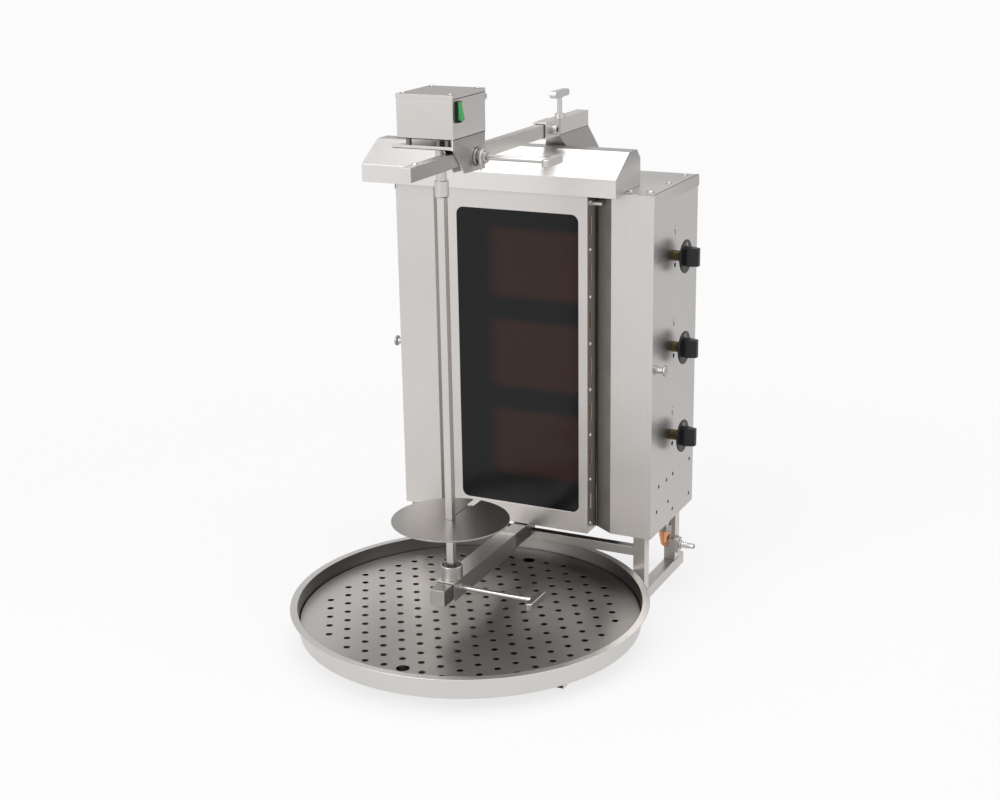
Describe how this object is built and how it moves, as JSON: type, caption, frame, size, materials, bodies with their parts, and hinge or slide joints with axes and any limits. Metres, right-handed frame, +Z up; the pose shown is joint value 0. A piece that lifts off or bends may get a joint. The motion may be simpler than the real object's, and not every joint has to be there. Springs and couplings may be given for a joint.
{
  "type": "gas doner kebab grill",
  "caption": "Upright gas rotisserie for doner meat: glass-fronted burner casing with side taps, motor on a sliding arm, upright spit with slotted disc and round drip pan.",
  "frame": {"origin": "on the bench, under the middle of the base's cross tube, straight below the spit", "axes": "+X towards the gas taps, -Y towards the cook and away from the burners, +Z up along the spit"},
  "size_m": [0.5665, 0.6914, 0.8588],
  "materials": {
    "stainless_steel": "fine brushed",
    "frame_steel": "satin",
    "pan_steel": "worn satin",
    "dark_steel": "heat dulled",
    "bright_steel": "polished",
    "black_glass": "polished",
    "burner_ceramic": "matt",
    "brass": "machined",
    "copper": "bright copper colour",
    "grey_casting": "cast",
    "black_plastic": "matt",
    "green_plastic": "gloss"
  },
  "bodies": {
    "base": {"base_rails": "frame_steel", "base_posts": "frame_steel", "base_cross_bars": "frame_steel", "lower_bar": "frame_steel", "glass_frame": "stainless_steel", "glass_pane": "black_glass", "wing_panels": "dark_steel", "left_box": "stainless_steel", "control_box": "stainless_steel", "top_lid": "stainless_steel", "back_cover": "stainless_steel", "hood": "stainless_steel", "side_studs": "dark_steel", "casing_screws": "bright_steel", "frame_screws": "bright_steel", "burner_plaques": "burner_ceramic", "burner_bodies": "dark_steel", "gas_manifold": "brass", "gas_valves": "brass", "thermocouples": "copper", "tap_sleeves": "brass", "inlet_nut": "bright_steel", "inlet_elbow": "copper", "inlet_valve": "grey_casting", "hose_nipple": "bright_steel", "rear_bracket": "stainless_steel", "arm_sleeve": "frame_steel"},
    "motor_carriage": {"motor_bracket": "stainless_steel", "bracket_spacers": "dark_steel", "motor_box": "stainless_steel", "motor_lid": "stainless_steel", "motor_screws": "bright_steel", "gear_motor": "dark_steel", "switch_bezel": "black_plastic", "cable_gland": "bright_steel"},
    "power_rocker": {"switch_rocker": "green_plastic"},
    "motor_pinion": {"pinion": "brass"},
    "spit_drive": {"drive_gear": "brass", "drive_shaft": "bright_steel", "coupler": "frame_steel", "spit": "bright_steel", "disc_collar": "bright_steel"},
    "meat_plate": {"meat_disc": "stainless_steel"},
    "arm": {"upper_arm": "frame_steel"},
    "upper_pad": {"upper_clamp_pad": "brass"},
    "upper_screw": {"upper_clamp_screw": "bright_steel"},
    "rear_pad": {"rear_clamp_pad": "brass"},
    "rear_screw": {"rear_clamp_screw": "bright_steel"},
    "lower_carrier": {"lower_sleeve": "frame_steel", "bearing_cup": "frame_steel"},
    "lower_pad": {"lower_clamp_pad": "brass"},
    "lower_screw": {"lower_clamp_screw": "bright_steel"},
    "pan": {"drip_pan": "pan_steel"},
    "tray": {"perforated_tray": "pan_steel"},
    "tap_plunger_1": {"tap_collar_1": "brass"},
    "tap_handle_1": {"tap_knob_1": "black_plastic"},
    "tap_plunger_2": {"tap_collar_2": "brass"},
    "tap_handle_2": {"tap_knob_2": "black_plastic"},
    "tap_plunger_3": {"tap_collar_3": "brass"},
    "tap_handle_3": {"tap_knob_3": "black_plastic"}
  },
  "joints": [
    {"name": "spit_distance", "type": "slide", "parent": "base", "child": "motor_carriage", "axis": [0, 1, 0], "range_m": [-0.045, 0.045]},
    {"name": "arm_reach", "type": "slide", "parent": "motor_carriage", "child": "arm", "axis": [0, 1, 0], "range_m": [-0.02, 0.07]},
    {"name": "foot_distance", "type": "slide", "parent": "base", "child": "lower_carrier", "axis": [0, 1, 0], "range_m": [-0.046, 0.046]},
    {"name": "spit_turn", "type": "hinge", "parent": "motor_carriage", "child": "spit_drive", "pos_m": [0, 0, 0.76], "axis": [0, 0, 1], "continuous": true},
    {"name": "pinion_turn", "type": "hinge", "parent": "motor_carriage", "child": "motor_pinion", "pos_m": [0, 0.03, 0.8025], "axis": [0, 0, 1], "continuous": true},
    {"name": "disc_height", "type": "slide", "parent": "spit_drive", "child": "meat_plate", "axis": [0, 0, 1], "range_m": [0, 0.3]},
    {"name": "power_switch", "type": "hinge", "parent": "motor_carriage", "child": "power_rocker", "pos_m": [0.0456, -0.031, 0.8333], "axis": [0, 1, 0], "range_deg": [0, 22]},
    {"name": "pan_pull", "type": "slide", "parent": "base", "child": "pan", "axis": [0, -1, 0], "range_m": [0, 0.3]},
    {"name": "tray_lift", "type": "slide", "parent": "pan", "child": "tray", "axis": [0, 0, 1], "range_m": [0, 0.045]},
    {"name": "upper_clamp_feed", "type": "slide", "parent": "motor_carriage", "child": "upper_pad", "axis": [1, 0, 0], "range_m": [0, 0.003]},
    {"name": "upper_clamp_turn", "type": "hinge", "parent": "upper_pad", "child": "upper_screw", "pos_m": [0.1, 0.026, 0.763], "axis": [1, 0, 0], "range_deg": [0, 722]},
    {"name": "rear_clamp_feed", "type": "slide", "parent": "base", "child": "rear_pad", "axis": [0, 0, 1], "range_m": [0, 0.003]},
    {"name": "rear_clamp_turn", "type": "hinge", "parent": "rear_pad", "child": "rear_screw", "pos_m": [0.033, 0.345, 0.8], "axis": [0, 0, 1], "range_deg": [0, 722]},
    {"name": "lower_clamp_feed", "type": "slide", "parent": "lower_carrier", "child": "lower_pad", "axis": [1, 0, 0], "range_m": [0, 0.003]},
    {"name": "lower_clamp_turn", "type": "hinge", "parent": "lower_pad", "child": "lower_screw", "pos_m": [0.08, 0.002, 0.101], "axis": [1, 0, 0], "range_deg": [0, 722]},
    {"name": "tap_push_1", "type": "slide", "parent": "base", "child": "tap_plunger_1", "axis": [-1, 0, 0], "range_m": [0, 0.004], "stiffness_N_per_m": 800, "springref_m": -0.004},
    {"name": "tap_turn_1", "type": "hinge", "parent": "tap_plunger_1", "child": "tap_handle_1", "pos_m": [0.252, 0.3625, 0.265], "axis": [1, 0, 0], "range_deg": [0, 200]},
    {"name": "tap_push_2", "type": "slide", "parent": "base", "child": "tap_plunger_2", "axis": [-1, 0, 0], "range_m": [0, 0.004], "stiffness_N_per_m": 800, "springref_m": -0.004},
    {"name": "tap_turn_2", "type": "hinge", "parent": "tap_plunger_2", "child": "tap_handle_2", "pos_m": [0.252, 0.3625, 0.415], "axis": [1, 0, 0], "range_deg": [0, 200]},
    {"name": "tap_push_3", "type": "slide", "parent": "base", "child": "tap_plunger_3", "axis": [-1, 0, 0], "range_m": [0, 0.004], "stiffness_N_per_m": 800, "springref_m": -0.004},
    {"name": "tap_turn_3", "type": "hinge", "parent": "tap_plunger_3", "child": "tap_handle_3", "pos_m": [0.252, 0.3625, 0.565], "axis": [1, 0, 0], "range_deg": [0, 200]}
  ],
  "couplings": [
    {"joint": "foot_distance", "follows": "spit_distance", "ratio": 1},
    {"joint": "pinion_turn", "follows": "spit_turn", "ratio": -4},
    {"joint": "upper_clamp_turn", "follows": "upper_clamp_feed", "rad_per_m": 4188.8},
    {"joint": "rear_clamp_turn", "follows": "rear_clamp_feed", "rad_per_m": 4188.8},
    {"joint": "lower_clamp_turn", "follows": "lower_clamp_feed", "rad_per_m": 4188.8}
  ]
}
